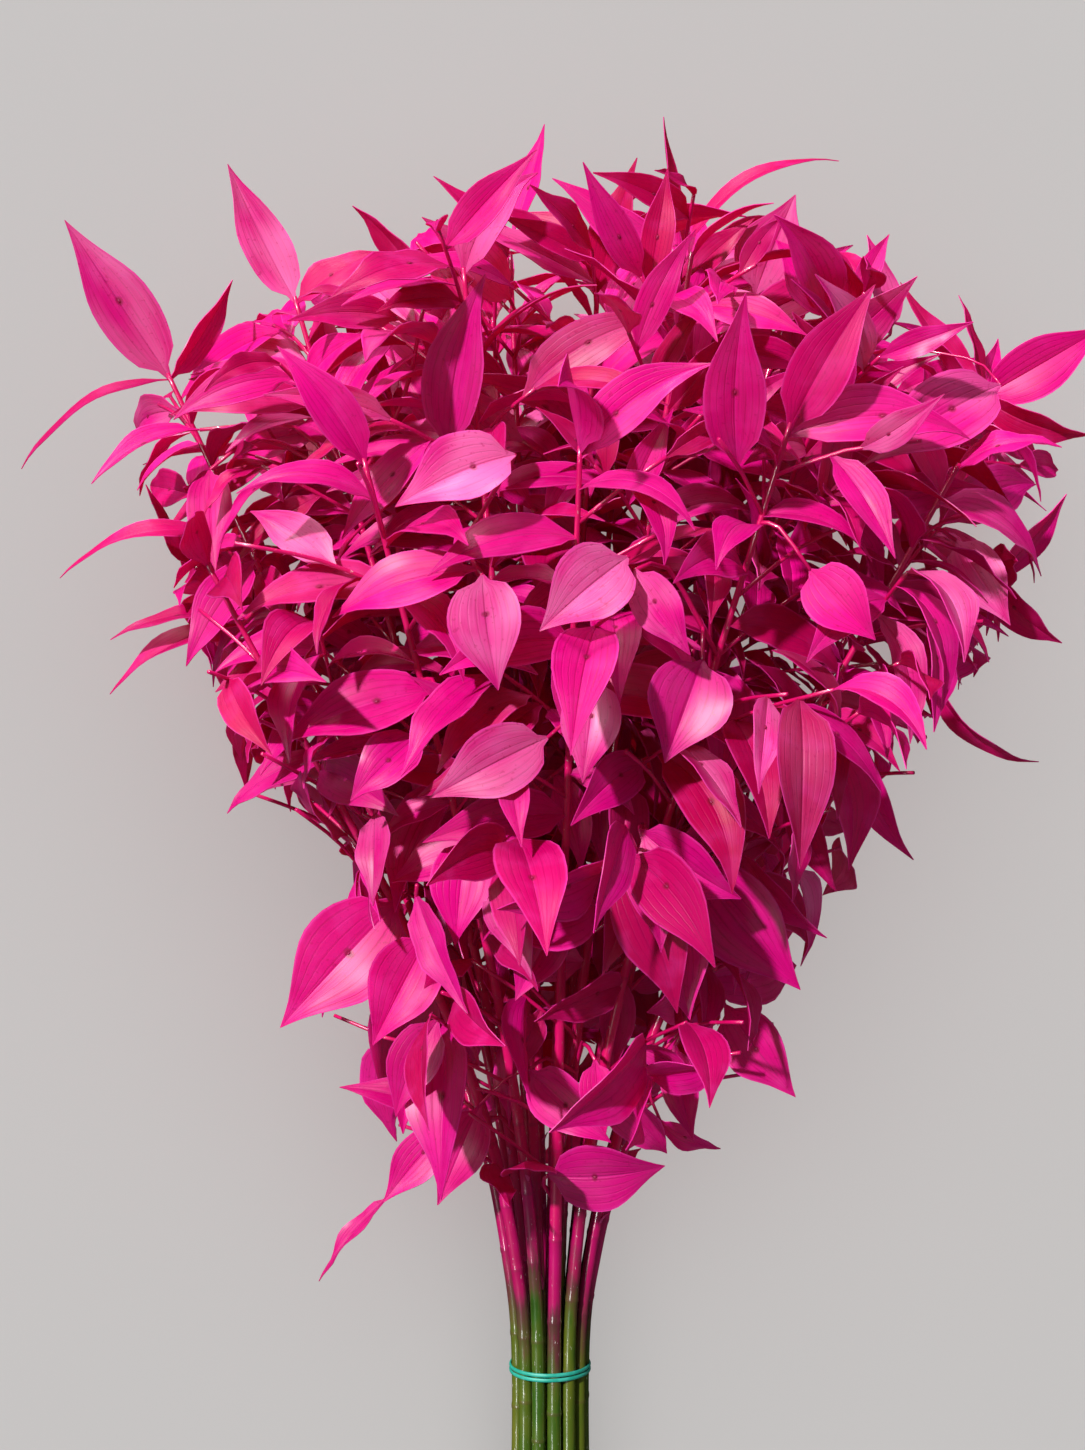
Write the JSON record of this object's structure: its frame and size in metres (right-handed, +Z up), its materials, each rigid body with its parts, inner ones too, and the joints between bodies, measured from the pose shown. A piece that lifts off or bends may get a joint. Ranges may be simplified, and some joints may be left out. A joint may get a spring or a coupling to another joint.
{
  "type": "dried ruscus bunch",
  "caption": "Tied bunch of dried ruscus stems dyed hot pink, green at the cut ends, lying on its side.",
  "frame": {"origin": "on the surface that the bunch lies on, under the middle of its outline", "axes": "+Y along the stems from the cut ends to the leafy tips, +X to the right as seen from above, +Z up"},
  "size_m": [0.432, 0.6042, 0.2853],
  "materials": {
    "dyed_ruscus": "satin",
    "teal_rubber": "satin"
  },
  "bodies": {
    "root": {"leafy_stem_01": "dyed_ruscus", "leafy_stem_02": "dyed_ruscus", "leafy_stem_03": "dyed_ruscus", "leafy_stem_04": "dyed_ruscus", "leafy_stem_05": "dyed_ruscus", "leafy_stem_06": "dyed_ruscus", "leafy_stem_07": "dyed_ruscus", "leafy_stem_08": "dyed_ruscus", "leafy_stem_09": "dyed_ruscus", "leafy_stem_10": "dyed_ruscus", "leafy_stem_11": "dyed_ruscus", "leafy_stem_12": "dyed_ruscus", "leafy_stem_13": "dyed_ruscus", "leafy_stem_14": "dyed_ruscus", "leafy_stem_15": "dyed_ruscus", "leafy_stem_16": "dyed_ruscus", "leafy_stem_17": "dyed_ruscus", "leafy_stem_18": "dyed_ruscus", "leafy_stem_19": "dyed_ruscus", "leafy_stem_20": "dyed_ruscus", "leafy_stem_21": "dyed_ruscus", "leafy_stem_22": "dyed_ruscus", "leafy_stem_23": "dyed_ruscus", "leafy_stem_24": "dyed_ruscus", "rubber_band": "teal_rubber"}
  },
  "joints": []
}
